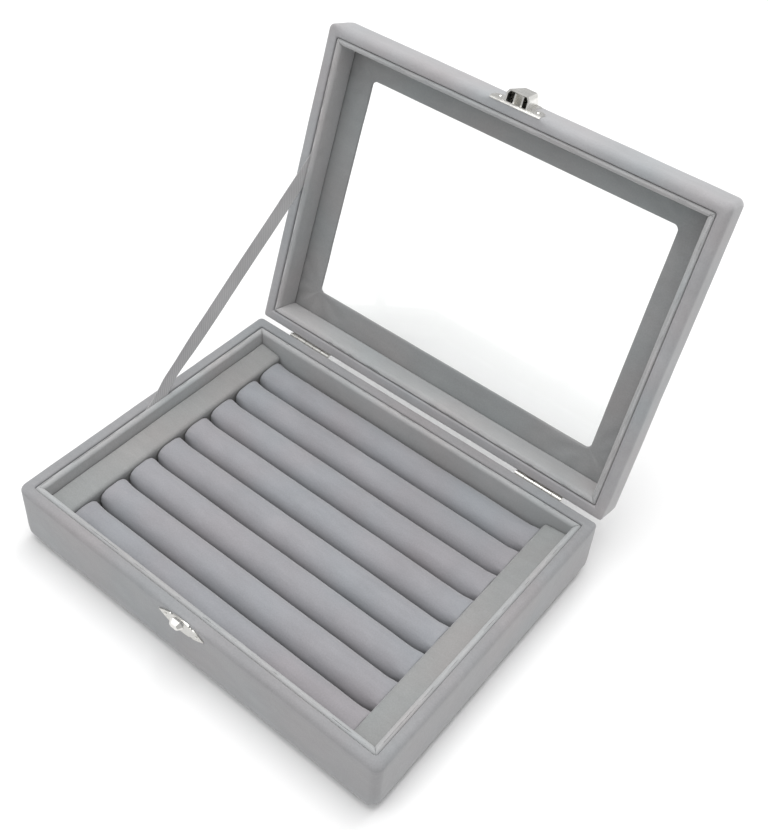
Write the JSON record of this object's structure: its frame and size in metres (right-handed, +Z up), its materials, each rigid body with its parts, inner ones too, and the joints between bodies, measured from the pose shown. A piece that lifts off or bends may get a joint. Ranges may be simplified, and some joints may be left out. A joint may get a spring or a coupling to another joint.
{
  "type": "ring display box",
  "caption": "Velvet-wrapped ring display box with a hinged glass-window lid, snap latch, ribbon stay and foam rolls that hold rings between them.",
  "frame": {"origin": "centre of the underside, on the surface that the box stands on", "axes": "X left to right, Y front to back with the latch at the front and the hinges at the back, Z up; the lid stands open at rest"},
  "size_m": [0.2, 0.2197, 0.1838],
  "materials": {
    "velvet_outer": "short-pile velvet over board",
    "velvet_liner": "short-pile velvet over card",
    "velvet_insert": "short-pile velvet over foam",
    "clear_glass": "polished",
    "bright_nickel": "bright nickel plate",
    "ribbon": "woven ribbon"
  },
  "bodies": {
    "base": {"base_shell": "velvet_outer", "underside_sheet": "velvet_outer", "base_liner_front": "velvet_liner", "base_liner_right": "velvet_liner", "base_liner_back": "velvet_liner", "base_liner_left": "velvet_liner", "floor_pad": "velvet_liner", "insert_card": "velvet_insert", "rail_left": "velvet_insert", "rail_right": "velvet_insert", "ring_roll_1": "velvet_insert", "ring_roll_2": "velvet_insert", "ring_roll_3": "velvet_insert", "ring_roll_4": "velvet_insert", "ring_roll_5": "velvet_insert", "ring_roll_6": "velvet_insert", "ring_roll_7": "velvet_insert", "ring_roll_8": "velvet_insert", "hinge_left_base_leaf": "bright_nickel", "hinge_right_base_leaf": "bright_nickel", "hinge_left_pin": "bright_nickel", "hinge_right_pin": "bright_nickel", "hinge_base_nails": "bright_nickel", "latch_wing_plate": "bright_nickel", "latch_knob": "bright_nickel", "latch_base_nails": "bright_nickel", "stay_ribbon": "ribbon"},
    "lid": {"lid_shell": "velvet_outer", "lid_liner_front": "velvet_liner", "lid_liner_right": "velvet_liner", "lid_liner_back": "velvet_liner", "lid_liner_left": "velvet_liner", "window_frame": "velvet_liner", "window_glass": "clear_glass", "hinge_left_lid_leaf": "bright_nickel", "hinge_right_lid_leaf": "bright_nickel", "hinge_lid_nails": "bright_nickel", "latch_hood": "bright_nickel", "latch_spring": "bright_nickel", "latch_lid_nails": "bright_nickel"}
  },
  "joints": [
    {"name": "lid_hinge", "type": "hinge", "parent": "base", "child": "lid", "pos_m": [0, 0.0767, 0.0326], "axis": [1, 0, 0], "range_deg": [0, 107], "deforming": ["stay_ribbon"]}
  ]
}
